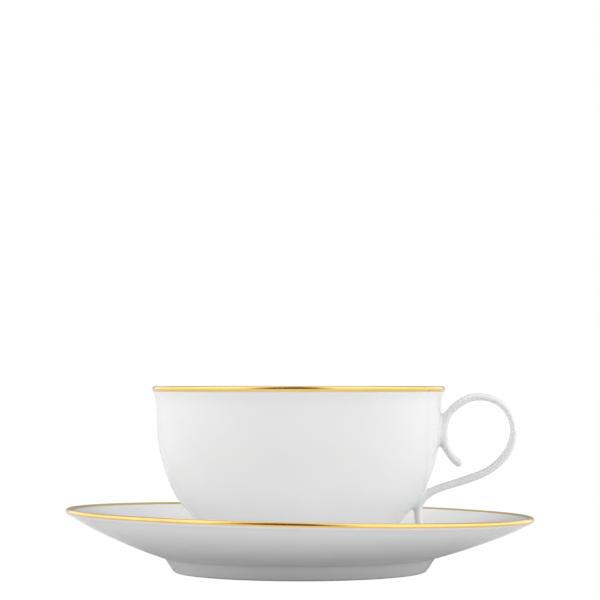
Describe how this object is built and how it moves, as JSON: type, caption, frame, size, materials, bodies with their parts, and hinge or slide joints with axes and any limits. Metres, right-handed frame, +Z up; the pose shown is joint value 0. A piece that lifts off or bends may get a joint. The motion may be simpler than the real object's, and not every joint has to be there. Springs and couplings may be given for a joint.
{
  "type": "teacup",
  "caption": "White glazed porcelain teacup with a looped strap handle on its matching saucer, both rims banded in gold.",
  "frame": {"origin": "centre of the saucer's foot ring, on the surface that the saucer stands on", "axes": "+Z up along the common axis of saucer and cup, +X from the cup's axis towards its handle, +Y across the handle"},
  "size_m": [0.16, 0.16, 0.063],
  "materials": {
    "glazed_porcelain": "polished",
    "foot_porcelain": "gloss",
    "gold": "polished"
  },
  "bodies": {
    "saucer": {"saucer_plate": "glazed_porcelain", "saucer_foot_ring": "foot_porcelain", "saucer_gold_band": "gold"},
    "cup": {"cup_bowl": "glazed_porcelain", "cup_foot_ring": "foot_porcelain", "cup_gold_band": "gold", "handle": "glazed_porcelain", "upper_slip_joint": "glazed_porcelain", "lower_slip_joint": "glazed_porcelain"}
  },
  "joints": [
    {"name": "cup_lift", "type": "slide", "parent": "saucer", "child": "cup", "axis": [0, 0, 1], "range_m": [0, 0.1]}
  ]
}
